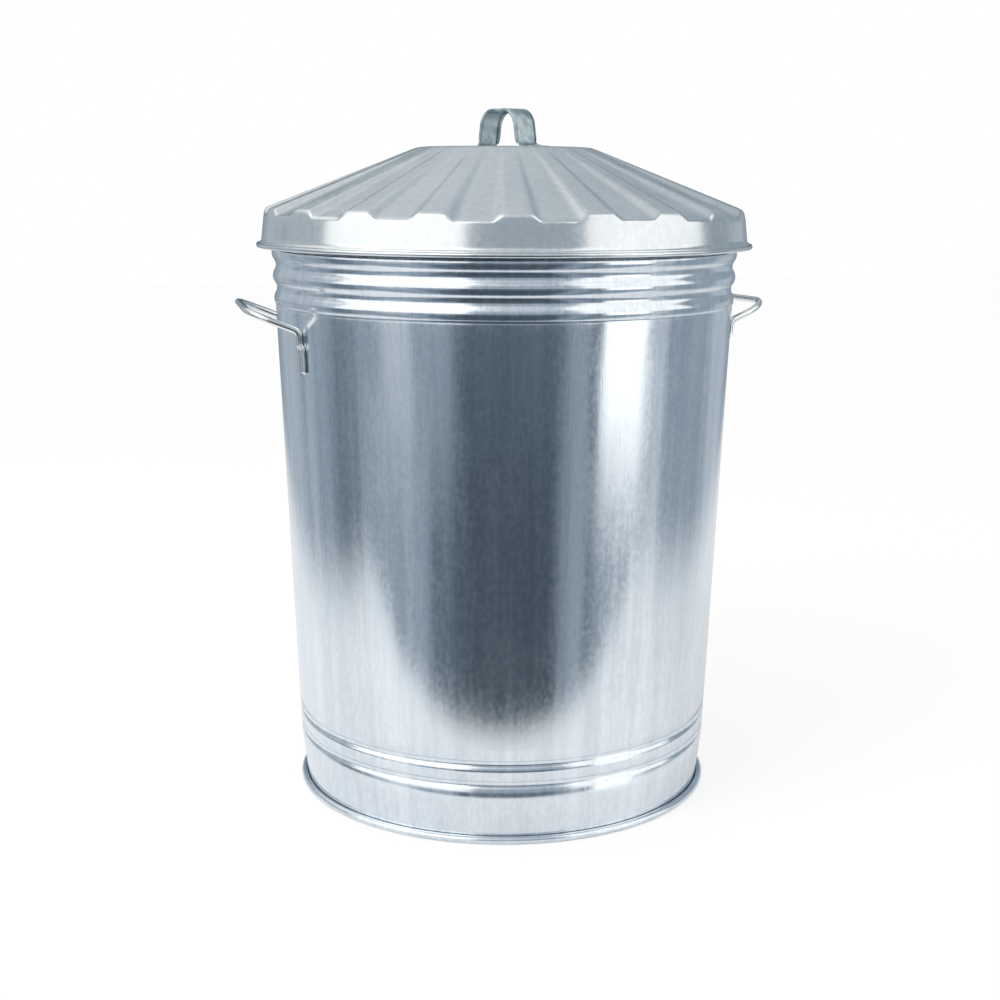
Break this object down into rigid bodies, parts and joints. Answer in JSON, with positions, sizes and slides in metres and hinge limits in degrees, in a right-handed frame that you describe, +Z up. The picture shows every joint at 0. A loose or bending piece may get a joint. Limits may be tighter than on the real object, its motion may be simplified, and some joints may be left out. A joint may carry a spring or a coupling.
{
  "type": "trash can with lid",
  "caption": "Galvanised steel bin with a tapered round body, rolled rims, ridges below the top, bar side handles and a loose fluted lid with a strap handle.",
  "frame": {"origin": "centre of the circle on which the foot rim stands, at floor level", "axes": "+Z up along the bin's axis; the side handles lie along X, each turned 4.8 degrees towards +Y; +Y is the back, where the body's seam is"},
  "size_m": [0.5456, 0.5, 0.6946],
  "materials": {
    "body_zinc": "bright galvanised sheet steel with fine vertical grain",
    "lid_zinc": "galvanised sheet steel, satin on the cone and bright on the skirt",
    "strap_zinc": "hot-dip galvanised with mottled spangle",
    "handle_rod_steel": "zinc-plated steel rod",
    "rim_wire_steel": "plain steel wire",
    "rivet_steel": "zinc-plated steel"
  },
  "bodies": {
    "body": {"body_wall": "body_zinc", "base_pan": "body_zinc", "top_rim_wire": "rim_wire_steel", "foot_rim_wire": "rim_wire_steel", "left_side_handle": "handle_rod_steel", "right_side_handle": "handle_rod_steel"},
    "lid": {"lid_shell": "lid_zinc", "lid_rim_wire": "rim_wire_steel", "lid_strap_handle": "strap_zinc", "lid_handle_rivets": "rivet_steel"}
  },
  "joints": [
    {"name": "lid_lift", "type": "slide", "parent": "body", "child": "lid", "axis": [0, 0, 1], "range_m": [0, 0.3]}
  ]
}
